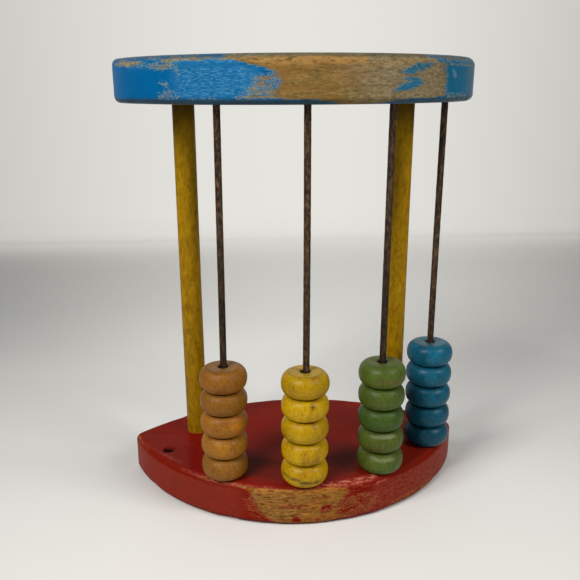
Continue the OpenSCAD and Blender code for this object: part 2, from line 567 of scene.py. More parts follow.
def board_blank(name, settings, floor_z, seed, dents):
    """Solid pointed board with hand-sanded edges, unevenness and dents."""
    outline, ways = board_outline(settings.nose_radius)
    count = len(outline)
    centre = np.array([0.0, (BACK_BULGE - FRONT_BULGE) / 2])
    rings, directions = [], []
    for inset, height, angle in board_rows(settings.edge_radius):
        flat = outline - ways * inset
        rings.append(np.column_stack([flat, np.full(count, floor_z + height)]))
        tilt = np.full(count, math.sin(angle))
        directions.append(np.column_stack([ways * math.cos(angle), tilt]))
    below = [np.array(rings[0]) for scale in FLAT_SCALES]
    above = [np.array(rings[-1]) for scale in FLAT_SCALES]
    for scale, low, high in zip(FLAT_SCALES, below, reversed(above)):
        for ring in (low, high):
            ring[:, :2] = centre + (ring[:, :2] - centre) * scale
    upright = np.tile([0.0, 0.0, 1.0], (count, 1))
    points = np.vstack(below + rings + above)
    outward = np.vstack([-upright] * len(below) + directions + [upright] * len(above))
    sideways = np.hypot(outward[:, 0], outward[:, 1])
    swell = np.zeros(len(points))
    for number, (width, depth) in enumerate(SWELLS):
        swell += wander(points, 1 / width, seed + number) * depth
    rubbed = np.clip(wander(points, 1 / RUB_WIDTH, seed + 2) + 0.1, 0, 1)
    rubbed *= np.sin(np.arccos(np.clip(sideways, 0, 1)) * 2) * RUB_DEPTH
    points += outward * (swell * sideways - rubbed)[:, None]
    press_dents(points, outward, dents)
    faces = ring_faces(len(points) // count, count)
    points = np.vstack([points, [*centre, floor_z], [*centre, floor_z + BOARD_T]])
    low_hub, high_hub, last = len(points) - 2, len(points) - 1, len(points) - 2 - count
    for column in range(count):
        beside = (column + 1) % count
        faces.append((low_hub, beside, column))
        faces.append((high_hub, last + column, last + beside))
    return new_piece(name, points, faces)


def edge_dents(seed, settings, floor_z):
    """Knocks along a board's upper and lower edges, as (place, radius, depth)."""
    dice = random.Random(seed)
    outline, ways = board_outline(settings.nose_radius)
    dents = []
    for _ in range(settings.dents):
        spot = dice.randrange(len(outline))
        x, y = outline[spot] - ways[spot] * DENT_SINK
        height = dice.choice((DENT_INSET, BOARD_T - DENT_INSET, dice.uniform(0, BOARD_T)))
        radius = dice.uniform(*DENT_RADIUS) * MM
        dents.append(((x, y, floor_z + height), radius, dice.uniform(*DENT_DEPTH) * MM))
    return dents


def lathe_cutter(mesh, x, y, profile, ragged=0.0, seed=0):
    """Adds a closed turned solid to a bmesh. The profile is (radius, height) from below to above."""
    rings = []
    for radius, height in profile:
        ring = []
        for side in range(CUTTER_SIDES):
            angle = math.tau * side / CUTTER_SIDES
            way = Vector((math.cos(angle), math.sin(angle), 0))
            lump = noise.noise(way * 1.7 + Vector((seed, height / MM, 0)))
            reach = radius * (1 + ragged * lump * (radius > profile[0][0]))
            ring.append(mesh.verts.new((x + way.x * reach, y + way.y * reach, height)))
        rings.append(ring)
    for low, high in zip(rings, rings[1:]):
        for side in range(CUTTER_SIDES):
            beside = (side + 1) % CUTTER_SIDES
            mesh.faces.new((low[side], low[beside], high[beside], high[side]))
    mesh.faces.new(list(reversed(rings[0])))
    mesh.faces.new(rings[-1])


def socket_cutter(board, face_z, inward):
    """All the holes of one board as one cutter. Inward is -1 below the board's face and 1 above it."""
    mesh = bmesh.new()
    clear = face_z - inward * OVERRUN
    seat = SEAT[board][0] * MM
    for node in ("left_post", "right_post", *(f"{wire}_wire" for wire in WIRES)):
        low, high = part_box(node)
        end = low.z if inward < 0 else high.z
        radius = (high.x - low.x) / 2 + HOLE_GAP
        heights = sorted((end, clear))
        x = (low.x + high.x) / 2 + SWAY[node][0 if inward < 0 else 1] * MM - seat
        lathe_cutter(mesh, x, (low.y + high.y) / 2, [(radius, z) for z in heights])
    spare = EMPTY_HOLE["pos_m"]
    radius = EMPTY_HOLE["dims"]["r_mm"] * MM
    wire_low, wire_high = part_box("orange_wire")
    if inward < 0:
        profile = [(radius, wire_low.z)]
        profile += [(across * MM, face_z + up * MM) for across, up in CHIPPED_MOUTH]
    else:
        profile = [(radius, clear), (radius, wire_high.z)]
    ragged = MOUTH_RAGGED if inward < 0 else 0.0
    lathe_cutter(mesh, spare[0] - seat, spare[1], profile, ragged=ragged, seed=3)
    bmesh.ops.recalc_face_normals(mesh, faces=mesh.faces)
    data = bpy.data.meshes.new("cutter")
    mesh.to_mesh(data)
    mesh.free()
    cutter = bpy.data.objects.new("cutter", data)
    bpy.context.scene.collection.objects.link(cutter)
    return cutter


def cut_away(piece, cutter):
    """Takes the cutter's solids out of the piece and deletes the cutter."""
    change = piece.modifiers.new("holes", "BOOLEAN")
    change.object, change.operation, change.solver = cutter, "DIFFERENCE", "EXACT"
    whole = piece.evaluated_get(bpy.context.evaluated_depsgraph_get())
    cut = bpy.data.meshes.new_from_object(whole)
    old = piece.data
    piece.modifiers.clear()
    piece.data = cut
    cut.name = piece.name
    bpy.data.meshes.remove(old)
    bpy.data.objects.remove(cutter)


def wrap_height(points, floor_z):
    """Height in mm on the side of a board, which runs on over its edges:
    above it, how far in from the front edge is added, and below it, taken away."""
    height = points[:, 2] - floor_z
    inward = from_front(points)
    return np.where(height > BOARD_T / 2, height + inward, height - inward) / MM


def from_front(points):
    """How far in from the front edge each point lies."""
    return FRONT_R - np.hypot(points[:, 0], points[:, 1] - FRONT_CENTRE_Y)


def front_share(points):
    """1 nearer a board's front edge and 0 nearer its back edge."""
    from_back = BACK_R - np.hypot(points[:, 0], points[:, 1] - BACK_CENTRE_Y)
    return smooth_step(from_back - from_front(points), -1.5 * MM, 1.5 * MM)


def patch_mask(points, floor_z, patches):
    """Sum of soft patches. Each has a strength, a softness in mm, and rows of
    (wrap height, left end, right end) in mm that bound it."""
    x = points[:, 0] / MM
    wrap = wrap_height(points, floor_z)
    total = np.zeros(len(points))
    for strength, soft, rows in patches:
        heights, lefts, rights = np.array(rows).T
        beside = np.minimum(x - np.interp(wrap, heights, lefts), np.interp(wrap, heights, rights) - x)
        above = np.minimum(wrap - heights[0], heights[-1] - wrap)
        across = smooth_step(beside, -soft / 2, soft / 2)
        total += strength * across * smooth_step(above, -ROW_SOFT, ROW_SOFT)
    return total * front_share(points)


def edge_mask(points, normals, floor_z, upper, lower):
    """Strength along the upper and the lower rounded edges, and three times as much at the back."""
    height = (points[:, 2] - floor_z) / BOARD_T
    tilt = np.abs(normals[:, 2])
    rounded = smooth_step(tilt, 0.15, 0.5) * (1 - smooth_step(tilt, 0.93, 0.995))
    return rounded * np.where(height > 0.5, upper, lower) * (3 - 2 * front_share(points))


# Masks of the wear, and of the painted shade, sheen and highlights. Wood shows where the paint's loss is
# near 1, and thin paint from about 0.4.
TOP_REMNANT = (
    (5, 36, 40), (6.7, 37, 47), (8.3, 41, 52), (10, 41.5, 49), (11.7, 40, 46.5),
    (13.3, 40, 48), (15, 43, 54), (16.7, 47, 57),
)
TOP_BARE = (
    (1.2, 7, (
        (-2, 13, 30), (1.2, 8, 37), (2.6, -14, 62), (5, -11.5, 63), (9, -9.5, 63.5), (12, -11, 63.5),
        (14, -16, 63), (15.5, -22, 62), (17, -28, 61), (19.4, -32, 52), (23, -34, 49), (32, -28, 36),
    )),
    (0.62, 6, ((2.6, -29, -8), (6, -26, -7), (9, -24, -7), (12.5, -22, -9))),
    (-0.84, 5, TOP_REMNANT),
    (-0.22, 5, ((4, 32, 45), (14, 35, 56))),
    (0.8, 1, ((11.0, 38, 50), (12.2, 38, 50))),
    (0.6, 1, ((8.9, 38, 45), (9.6, 38, 45))),
    (0.4, 3, ((3.5, -59, -53), (7, -62, -57), (11.5, -64, -61))),
    (0.3, 3, ((2.6, -64, -54), (6, -65, -60))),
    (0.46, 2.5, ((11.4, -54, -51.5), (14.5, -56.5, -53.5), (17, -58, -54))),
    (0.8, 2, ((16.4, -84, -77), (17.2, -86, -72), (18.4, -86, -70))),
    (0.5, 3, ((15.2, -74, -57), (16.2, -80, -56), (18.2, -84, -56))),
    (0.46, 3, ((13.4, -64, -58), (16, -68, -57))),
    (0.7, 2, ((17.9, -62, -30), (18.7, -62, -27), (19.6, -62, -27))),
    (0.3, 6, ((19, -84, -40), (24, -80, -40))),
    (0.34, 3, ((1.4, -66, -16), (3.4, -66, -16))),
    (0.6, 1.4, ((15.6, 61, 80), (16.6, 61, 84), (17.4, 61, 84))),
    (0.48, 6, ((18, 48, 86), (24, 46, 80))),
    (0.2, 4, ((-8, 40, 84), (1.6, 44, 84))),
    (0.42, 3, ((1.8, 61, 80), (4.6, 61, 76))),
    (0.56, 1.2, ((10.6, 68.4, 70.4), (12.5, 67.6, 69.6), (14.4, 66.6, 68.6))),
    (0.24, 10, ((25, -80, -30), (45, -60, 60))),
)
TOP_SCUFFS = (
    (0.6, 8, ((3, -56, -20), (15.5, -56, -22))),
    (0.7, 3, ((16.4, -58, -28), (17.9, -58, -28))),
    (0.3, 2, ((14.6, -78, -56), (16.4, -78, -56))),
    (0.5, 4, ((6, 38, 50), (14, 40, 52))),
    (0.4, 2, ((3, 61, 64), (16, 61, 64))),
    (1.0, 1.2, ((10.6, 68.4, 70.4), (12.5, 67.6, 69.6), (14.4, 66.6, 68.6))),
    (0.3, 6, ((18.4, -84, -34), (20.5, -84, -34))),
    (0.3, 6, ((18.4, 50, 84), (20.5, 50, 84))),
)
# A second tone of the top board's paint, and a painted highlight on the bare wood along its upper front
# edge
TOP_POLISH_AND_HIGHLIGHT = (
    (0.9, 8, ((15.8, -20, 18), (17, -24, 22), (20, -24, 24))),
    (0.5, 3, ((17.8, -36, -20), (19.4, -36, -20))),
    (0.3, 8, ((15, 18, 52), (20, 18, 50))),
    (0.8, 3, TOP_REMNANT),
    (0.8, 2, ((1, 64, 92), (18, 64, 92))),
    (0.7, 4, ((-8, -20, 14), (1, -20, 10))),
    (0.7, 4, ((-8, 38, 92), (1, 40, 92))),
)
TOP_SILVER = (
    (0.6, 30, ((-2, 24, 80), (20, 16, 80))),
    (0.9, 6, ((19.2, -50, -18), (26, -50, -18))),
    (0.5, 6, ((19.6, -20, 60), (26, -20, 60))),
    (1.0, 6, ((0, -90, -30), (20, -90, -46))),
    (0.6, 6, ((2, -34, -14), (14, -30, -14))),
)
# Dirt on the top board, and painted shade along its underside and lower edges
TOP_GRIME_AND_SHADE = (
    (0.84, 6, ((-8, -92, 14), (1.2, -92, 10), (2.0, -92, 10))),
    (0.74, 6, ((-8, 34, 92), (1.2, 36, 92), (2.0, 36, 92))),
    (0.24, 4, ((-8, 14, 34), (1.2, 10, 36), (2.0, 10, 36))),
    (0.1, 6, ((2, 60, 92), (19, 60, 92))),
    (0.3, 3, TOP_REMNANT),
    (0.34, 6, ((2, 80, 92), (19, 80, 92))),
    (0.16, 10, ((8, 60, 66), (18, 56, 66))),
    (0.64, 6, ((19.2, -92, 92), (24, -92, 92))),
    (0.2, 6, ((18, 48, 86), (19.2, 46, 84))),
)
BASE_BARE = (
    (1.2, 7, (
        (0.5, -12, 9), (1.2, -14, 11), (4.1, -18.6, 14), (7, -21, 13), (10, -22.4, 12), (12.9, -24.3, 16),
        (15, -26, 18), (17.5, -27.5, 20), (19.5, -31, 18), (20.6, -32, 15),
    )),
    (0.3, 8, ((13, 10, 30), (16, 12, 34), (19, 12, 36), (20.6, 10, 32))),
    (0.57, 6, ((1.4, 6, 24), (4, 8, 34), (7, 8, 36), (10, 10, 36), (13.5, 12, 34))),
    (0.24, 8, ((2, 34, 90), (18, 36, 90))),
    (0.4, 4, ((2, -27, -14), (8, -30, -20), (14, -32, -22))),
    (-0.9, 1.6, ((6.5, 7.5, 11), (8.5, 6.5, 13), (11, 8, 11))),
    (-0.9, 1.4, ((2.0, -6.4, -3.2), (3.6, -7.4, -2.6), (5.4, -6, -4))),
    (-0.5, 3, ((9.6, -12, -3), (11.2, -13, -2))),
    (-0.7, 1.6, ((1.6, 4.5, 10), (3.6, 4, 11))),
    (-0.2, 5, ((2, -20, 8), (14, -24, 16))),
    (0.34, 5, ((19.6, -48, -28), (21.6, -48, -28))),
    (0.3, 4, ((1, 44, 72), (5, 44, 72))),
    (0.42, 3, ((19.4, -57, -46), (21.4, -57, -46))),
    (0.45, 2, ((18.5, -90, -84), (21.5, -90, -83))),
)
BASE_SCUFFS = (
    (0.9, 4, ((19.4, -48, -16), (21.8, -48, -16))),
    (0.5, 2, ((20.6, 8, 30), (22.8, 10, 32))),
    (1.0, 4, ((20.0, 4, 34), (24.4, 7, 37))),
    (0.42, 8, ((2, 30, 90), (18, 34, 90))),
    (0.35, 2.5, ((22.6, -82, -74), (24.2, -74, -62), (26, -66, -60))),
    (0.4, 3, ((20.2, -62, -46), (22.4, -60, -46))),
    (0.3, 2, ((19, -90, -80), (22, -90, -80))),
    (0.8, 1, ((17.2, 34, 40), (18.4, 36, 42))),
    (0.32, 10, ((2, -92, -30), (18, -92, -30))),
    (0.1, 10, ((20, -92, 92), (60, -92, 92))),
)
# Painted sheen and reflections on the base's top face, and a painted highlight on the bare wood along its
# upper front edge
BASE_SHEEN = (
    (0.5, 6, ((17.5, -26, 14), (20.6, -26, 14))),
    (1.0, 1.5, ((20.5, -57, -50.5), (50, -59, -52))),
    (0.5, 8, ((22.6, -30, -6), (28, -30, -6))),
    (0.4, 8, ((22.6, 8, 30), (28, 8, 34))),
)
BASE_SILVER = (
    (0.3, 12, ((2, -30, -4), (20, -34, 2))),
)
# Painted shade: the base is dark where the beads and the top board keep the light off it, and along its
# underside
BASE_SHADE = (
    (0.3, 12, ((29, -34, 34), (39.5, -34, 34))),
    (0.6, 12, ((39.5, -34, 6), (46, -30, 6))),
    (0.46, 12, ((39.5, 6, 34), (46, 6, 30))),
    (0.3, 6, ((-8, -92, 92), (1.0, -92, 92))),
)


def dress_board(name, settings, material, patches, floor_z, face_z, inward, seed, edges):
    """One board: blank, holes in the face at face_z, masks and paint. The patches are those of each
    mask, and the edges say how worn the upper and the lower edge are."""
    piece = board_blank(name, settings, floor_z, seed, edge_dents(seed, settings, floor_z))
    cut_away(piece, socket_cutter(name, face_z, inward))
    points, normals = vertices_of(piece), normals_of(piece)
    masks = {mask: patch_mask(points, floor_z, rows) for mask, rows in patches.items()}
    wear = masks.pop("wear") + edge_mask(points, normals, floor_z, *edges)
    drift = wander(points, 1 / DRIFT_WIDTH, seed + 5) * DRIFT
    write_mask(piece, "wear", wear + drift * (wear > 0.05))
    for mask, values in masks.items():
        write_mask(piece, mask, values)
    aside, up, tilt = SEAT[name]
    write_mask(piece, "pit", hole_dark(points, face_z, aside * MM))
    points[:, 2] += up * MM + tilt * points[:, 0]
    points[:, 0] += aside * MM
    piece.data.vertices.foreach_set("co", points.astype(np.float32).ravel())
    finish_piece(piece, material, name, "frame", SHARP_ANGLE)


def hole_dark(points, face_z, aside):
    """Painted shade: 1 inside the empty hole, and a little round its mouth, before the board is moved
    aside.
    """
    spare = EMPTY_HOLE["pos_m"]
    gap = np.hypot(points[:, 0] - spare[0] + aside, points[:, 1] - spare[1])
    below = np.abs(points[:, 2] - face_z)
    return (gap < PIT_REACH) * (0.2 + 0.8 * smooth_step(below, 0.2 * MM, 1.5 * MM))


class BoardSettings(PropertyGroup):
    red_paint: colour_setting("Base paint", "Paint of the base board", srgb(117, 19, 6))
    blue_paint: colour_setting("Top paint", "Paint of the top board", srgb(0, 94, 148))
    bare_wood: colour_setting("Bare wood", "Wood where the paint has gone", srgb(124, 100, 55))
    edge_radius: length_setting("Edge radius", "Rounding of the sanded edges", 3.2, 1, 5)
    nose_radius: length_setting("Point radius", "Rounding of the two points", 4, 3.5, 8)
    wear: share_setting("Wear", "How far the paint has worn away", 1.5)
    dents: IntProperty(
        name="Dents", description="Knocks along the edges of each board", default=46, min=0, max=200,
    )


class ABACUS_OT_base_board(Operator):
    """Make the red base board, with its empty wire hole"""

    bl_idname = "abacus.base_board"
    bl_label = "Make Base Board"

    def execute(self, context):
        settings = context.scene.abacus_boards
        paint = tuple(settings.red_paint)
        tones = {
            "paint": paint,
            "worn": scaled(paint, 0.86, 1.2, 1.0),
            "polished_and_sheen": srgb(114, 0, 0),
            "scratch": srgb(176, 98, 78),
            "thin": srgb(146, 76, 50),
            "wood": scaled(settings.bare_wood, 1.2, 0.84, 0.55),
            "silver": srgb(140, 106, 58),
            "flecks": srgb(108, 40, 12),
            "fleck_share": 0.85,
            "dirt_and_shade": srgb(46, 20, 12),
            "specks": 0.25,
            "shine": 0.02,
        }
        material = worn_paint("red_paint", settings, tones)
        patches = {
            "wear": BASE_BARE,
            "scuff": BASE_SCUFFS,
            "polish": BASE_SHEEN,
            "silver": BASE_SILVER,
            "grime": BASE_SHADE,
        }
        dress_board(
            "base_board", settings, material, patches,
            floor_z=BASE_LOW.z, face_z=BASE_HIGH.z, inward=-1, seed=11, edges=(0.1, 0.12),
        )
        return {"FINISHED"}


class ABACUS_OT_top_board(Operator):
    """Make the blue top board"""

    bl_idname = "abacus.top_board"
    bl_label = "Make Top Board"

    def execute(self, context):
        settings = context.scene.abacus_boards
        paint = tuple(settings.blue_paint)
        tones = {
            "paint": paint,
            "worn": scaled(paint, 1.0, 0.92, 0.88),
            "polished_and_sheen": srgb(16, 102, 132),
            "scratch": srgb(84, 150, 188),
            "thin": srgb(128, 140, 128),
            "wood": tuple(settings.bare_wood),
            "silver": srgb(134, 126, 102),
            "flecks": srgb(98, 76, 40),
            "fleck_share": 0.5,
            "dirt_and_shade": srgb(52, 58, 50),
            "specks": 0.6,
            "shine": 0.05,
        }
        material = worn_paint("blue_paint", settings, tones)
        patches = {
            "wear": TOP_BARE,
            "scuff": TOP_SCUFFS,
            "polish": TOP_POLISH_AND_HIGHLIGHT,
            "silver": TOP_SILVER,
            "grime": TOP_GRIME_AND_SHADE,
        }
        dress_board(
            "top_board", settings, material, patches,
            floor_z=TOP_LOW.z, face_z=TOP_LOW.z, inward=1, seed=23, edges=(0.14, 0.06),
        )
        return {"FINISHED"}


# Posts and wires

POST_SIDES, POST_ROWS = 56, 150
WIRE_SIDES, WIRE_ROWS = 24, 320
# Where the dowels' paint pales just above the base, and where painted shade darkens them below the top
# board
FOOT_FADE = (0.3 * MM, 1.1 * MM)
HEAD_FADE = (-17 * MM, -2 * MM)
# How much darker the lower part of each wire is, and the heights between which that fades
WIRE_SHADE = {"orange": 0.66, "yellow": 0.1, "green": 0.6, "blue": 0.0}
SHADE_FADE = (100 * MM, 160 * MM)


def upright_rod(node, sides, rows, seed, sway, uneven):
    """Uneven rod along a node's height. Its sway is how far its foot, its head and its middle
    lean to the right."""
    foot, head, belly = sway
    low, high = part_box(node)
    radius = (high.x - low.x) / 2
    x, y = (low.x + high.x) / 2, (low.y + high.y) / 2
    points = []
    for row in range(rows):
        share = row / (rows - 1)
        sag = (foot + (head - foot) * share + belly * math.sin(math.pi * share)) * MM
        for side in range(sides):
            angle = math.tau * side / sides
            way = Vector((math.cos(angle), math.sin(angle), 0))
            height = low.z + (high.z - low.z) * share
            lump = noise.noise(Vector((way.x, way.y, height / (3 * MM) + seed * 9.1)))
            reach = radius + lump * uneven
            points.append((x + sag + way.x * reach, y + way.y * reach, height))
    faces = ring_faces(rows, sides)
    faces.append(tuple(reversed(range(sides))))
    faces.append(tuple(range((rows - 1) * sides, rows * sides)))
    return new_piece(node, points, faces)


class DowelSettings(PropertyGroup):
    paint: colour_setting("Paint", "Paint of the two dowels", srgb(157, 118, 6))
    undertone: colour_setting("Undertone", "Darker wood that shows through", srgb(110, 70, 2))
    uneven: length_setting("Unevenness", "How far the surface wanders", 0.05, 0, 0.5)


class ABACUS_OT_posts(Operator):
    """Make the two yellow dowels"""

    bl_idname = "abacus.posts"
    bl_label = "Make Posts"

    def execute(self, context):
        settings = context.scene.abacus_dowels
        material = dowel_paint(settings)
        for seed, node in enumerate(("left_post", "right_post")):
            piece = upright_rod(node, POST_SIDES, POST_ROWS, seed + 1, SWAY[node], settings.uneven)
            heights = vertices_of(piece)[:, 2]
            write_mask(piece, "foot", 1 - smooth_step(heights - BASE_HIGH.z, *FOOT_FADE))
            shade = 0.72 * smooth_step(heights - TOP_LOW.z, *HEAD_FADE)
            # Painted shade: the left dowel is darker all over, and more so towards its foot
            if node == "left_post":
                shade += 0.1 + 0.14 * (1 - smooth_step(heights, 60 * MM, 110 * MM))
            write_mask(piece, "shade", shade)
            finish_piece(piece, material, node, "frame", SHARP_ANGLE)
        return {"FINISHED"}


class WireSettings(PropertyGroup):
    rust: colour_setting("Rust", "Brown of the rust", srgb(74, 54, 36))
    dark: colour_setting("Dark iron", "Darkest colour of the wires", srgb(36, 28, 18))
    lean: share_setting("Lean", "How much of their hand-bent lean the wires show")
    pitting: length_setting("Pitting", "Depth of the rust's lumps", 0.06, 0, 0.2)


class ABACUS_OT_wires(Operator):
    """Make the four rusted wires"""

    bl_idname = "abacus.wires"
    bl_label = "Make Wires"

    def execute(self, context):
        settings = context.scene.abacus_wires
        material = rusted_wire(settings)
        for seed, wire in enumerate(WIRES):
            node = f"{wire}_wire"
            sway = [share * settings.lean for share in SWAY[node]]
            piece = upright_rod(node, WIRE_SIDES, WIRE_ROWS, seed + 5, sway, settings.pitting)
            heights = vertices_of(piece)[:, 2]
            write_mask(piece, "shade", WIRE_SHADE[wire] * (1 - smooth_step(heights, *SHADE_FADE)))
            finish_piece(piece, material, node, "frame", SHARP_ANGLE)
        return {"FINISHED"}


# Beads

BEAD_SIDES = 88
RIM_STEPS, FACE_STEPS, BORE_STEPS = 24, 5, 4
# How far the rounded rim reaches in from the side, and how full its curve is: 2 is an ellipse
RIM_DEPTH = 4.8 * MM
RIM_POWER = 2.2
FACE_DISH = 0.12 * MM
# Room round the wire, and the broken edge of the bore
BORE_GAP = 0.72 * MM
LIP_WIDTH, LIP_DEPTH = 0.4 * MM, 0.5 * MM
# How far a bead sits before or behind its wire's middle at most, in mm, and how oval it is at most
BEAD_DRIFT = 0.08
BEAD_OVAL = 0.005


def bead_section(radius, half, bore):
    """Closed section of a bead as (radius, height), from the top of the bore outwards and back."""
    flat_end = radius - RIM_DEPTH
    mouth = bore + LIP_WIDTH
    top_face = []
    for step in range(FACE_STEPS + 1):
        share = step / FACE_STEPS
        top_face.append((mouth + (flat_end - mouth) * share, half - FACE_DISH * (1 - share * share)))
    rim = []
    for step in range(1, RIM_STEPS):
        angle = math.pi / 2 - math.pi * step / RIM_STEPS
        out = math.cos(angle) ** (2 / RIM_POWER)
        up = math.copysign(abs(math.sin(angle)) ** (2 / RIM_POWER), angle)
        rim.append((flat_end + RIM_DEPTH * out, half * up))
    low_face = [(reach, -up) for reach, up in reversed(top_face)]
    lip = half - LIP_DEPTH
    bore_wall = [(bore, -lip + 2 * lip * step / BORE_STEPS) for step in range(BORE_STEPS + 1)]
    return top_face + rim + low_face + bore_wall


def crevice_share(reach, up, radius, half, bore):
    """Dirt and painted shade where two beads meet, in the turned line at the edge of the top face, and
    round the bore.
    """
    inner = 1 - smooth_step(reach, radius * 0.7, radius * 0.9)
    meeting = smooth_step(-up, half * 0.86, half) * inner
    line = math.exp(-((reach - radius + RIM_DEPTH * 0.72) / (0.4 * MM)) ** 2) * (up > 0)
    return max(0.5 * meeting, 0.5 * line, 1 - smooth_step(reach, bore, bore + 0.7 * MM))


def bead_piece(node, seed, slip, settings):
    """One turned bead with its own small faults."""
    dice = random.Random(seed)
    wire = node.split("_bead_")[0]
    low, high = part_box(node)
    centre = (low + high) / 2
    radius = (high.x - low.x) / 2 + dice.uniform(-0.2, 1.0) * settings.uneven
    radius += BEAD_SWELL[wire] * MM
    half = (high.z - low.z) / 2
    wire_low, wire_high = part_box(f"{wire}_wire")
    bore = (wire_high.x - wire_low.x) / 2 + BORE_GAP
    section = bead_section(radius, half, bore)
    aside = Vector((slip * MM, dice.uniform(-BEAD_DRIFT, BEAD_DRIFT) * MM, 0)) * settings.slip
    oval = dice.uniform(0, BEAD_OVAL)
    points, dust, crevice = [], [], []
    for reach, up in section:
        share = smooth_step(reach, bore, radius)
        top_share = (up > 0) * (1 - smooth_step(reach, radius * 0.6, radius * 0.8))
        dirt_and_shade = crevice_share(reach, up, radius, half, bore)
        for side in range(BEAD_SIDES):
            angle = math.tau * side / BEAD_SIDES
            way = Vector((math.cos(angle), math.sin(angle), 0))
            lump = noise.noise(way * 1.3 + Vector((seed * 5.1, 0, up / (6 * MM))))
            far = reach * (1 + oval * math.cos(2 * angle) * share) + lump * settings.uneven * share
            points.append(centre + aside + way * far + Vector((0, 0, up)))
            dust.append(top_share * (0.6 + lump))
            crevice.append(dirt_and_shade)
    piece = new_piece(node, points, ring_faces(len(section), BEAD_SIDES, closed=True))
    write_mask(piece, "dust", np.array(dust))
    write_mask(piece, "crevice", np.array(crevice))
    return piece, centre


class BeadSettings(PropertyGroup):
    orange: colour_setting("Orange", "Stain of the orange beads", srgb(137, 87, 21))
    yellow: colour_setting("Yellow", "Stain of the yellow beads", srgb(170, 133, 0))
    green: colour_setting("Green", "Stain of the green beads", srgb(70, 84, 27))
    blue: colour_setting("Blue", "Stain of the blue beads", srgb(14, 86, 108))
    uneven: length_setting("Unevenness", "How far the turning of a bead wanders", 0.12, 0, 0.4)
    slip: share_setting("Slip", "How much of their sideways slip the beads show")


UNDERTONES = {
    "orange": srgb(118, 68, 14),
    "yellow": srgb(144, 102, 2),
    "green": srgb(70, 64, 18),
    "blue": srgb(8, 56, 74),
}
# Roughness of the stain, and how dusty the beads' top faces are
GLOSS = {"orange": 0.4, "yellow": 0.33, "green": 0.34, "blue": 0.28}
DUST = {"orange": 0.6, "yellow": 0.2, "green": 0.7, "blue": 0.6}
# Lightness and redness of each bead beside its wire's stain, from the bottom bead upwards
BEAD_TONES = {
    "orange": ((0.88, 0.98), (1.2, 0.94), (1.12, 1.0), (0.84, 0.96), (0.9, 1.0)),
    "yellow": ((1.04, 1.0), (1.06, 1.0), (0.94, 1.0), (1.16, 0.98), (0.9, 1.0)),
    "green": ((1.08, 0.94), (1.04, 1.0), (0.86, 0.76), (0.98, 0.94), (1.14, 0.96)),
    "blue": ((0.66, 1.3), (0.78, 1.1), (0.88, 1.0), (0.94, 1.2), (1.1, 1.1)),
}
# Marks on single beads, some of them painted light: bearing in degrees, height, distance out and half
# sizes in mm, colour, strength
BEAD_MARKS = {
    "yellow_bead_4": (
        (-76, 3.2, 10.6, (1.3, 1.3, 0.9), srgb(52, 34, 10), 0.95),
        (-76, 3.0, 10.6, (2.6, 2.6, 2.2), srgb(110, 76, 10), 0.45),
    ),
    "yellow_bead_1": (
        (-150, 0.8, 11.0, (4, 5, 1.4), srgb(96, 76, 6), 0.8),
        (-122, 0.2, 11.2, (5, 4, 1.5), srgb(90, 70, 6), 0.85),
        (-94, -1.2, 11.2, (5, 4, 1.5), srgb(76, 58, 5), 0.9),
        (-66, -1.4, 11.1, (5, 4, 1.5), srgb(88, 68, 6), 0.85),
    ),
    # A painted reflection of the red base on the bottom blue bead
    "blue_bead_1": ((-52, -3.4, 10.0, (4.5, 4.5, 2.6), srgb(110, 58, 44), 0.7),),
    "green_bead_5": ((-80, -1.0, 10.8, (10, 6, 2.2), srgb(104, 74, 30), 0.4),),
    # Pale scratches on the two lower green beads, partly painted highlights
    "green_bead_2": ((-84, 4.2, 10.0, (8, 5, 1.2), srgb(136, 144, 108), 0.4),),
    "green_bead_1": ((-84, 3.4, 10.4, (8, 5, 1.2), srgb(136, 144, 108), 0.4),),
    "orange_bead_3": ((-60, 1.2, 10.8, (6, 6, 2.6), srgb(186, 112, 24), 0.5),),
}


def bead_marks(node, centre):
    """The marks of one bead as (place in metres, half sizes in mm, colour, strength)."""
    marks = []
    for bearing, up, out, size, tint, strength in BEAD_MARKS.get(node, ()):
        turn = math.radians(bearing)
        place = centre + Vector((math.cos(turn) * out, math.sin(turn) * out, up)) * MM
        marks.append((tuple(place), size, tint, strength))
    return marks


class ABACUS_OT_beads(Operator):
    """Make the twenty stained beads, five on each wire"""

    bl_idname = "abacus.beads"
    bl_label = "Make Beads"

    def execute(self, context):
        settings = context.scene.abacus_beads
        seed = 100
        for wire in WIRES:
            for place in range(BEADS_PER_WIRE):
                seed += 1
                node = f"{wire}_bead_{place + 1}"
                piece, centre = bead_piece(node, seed, BEAD_SLIP[wire][place], settings)
                light, redness = BEAD_TONES[wire][place]
                tones = (light * redness, light, light)
                stain = scaled(getattr(settings, wire), *tones)
                undertone = scaled(UNDERTONES[wire], *tones)
                marks = bead_marks(node, centre)
                material = stained_bead(
                    f"{node}_stain", centre, stain, undertone, GLOSS[wire], DUST[wire], marks,
                )
                finish_piece(piece, material, node, node, SHARP_BEAD_ANGLE)
        return {"FINISHED"}


# Studio


def dimmed_aside(finish, across, centre, strength):
    """1 on a centre line and less to both sides of it."""
    aside = finish.math("SUBTRACT", across, centre)
    square = finish.times(finish.times(aside, aside), strength)
    return finish.math("DIVIDE", 1.0, finish.math("ADD", square, 1.0))


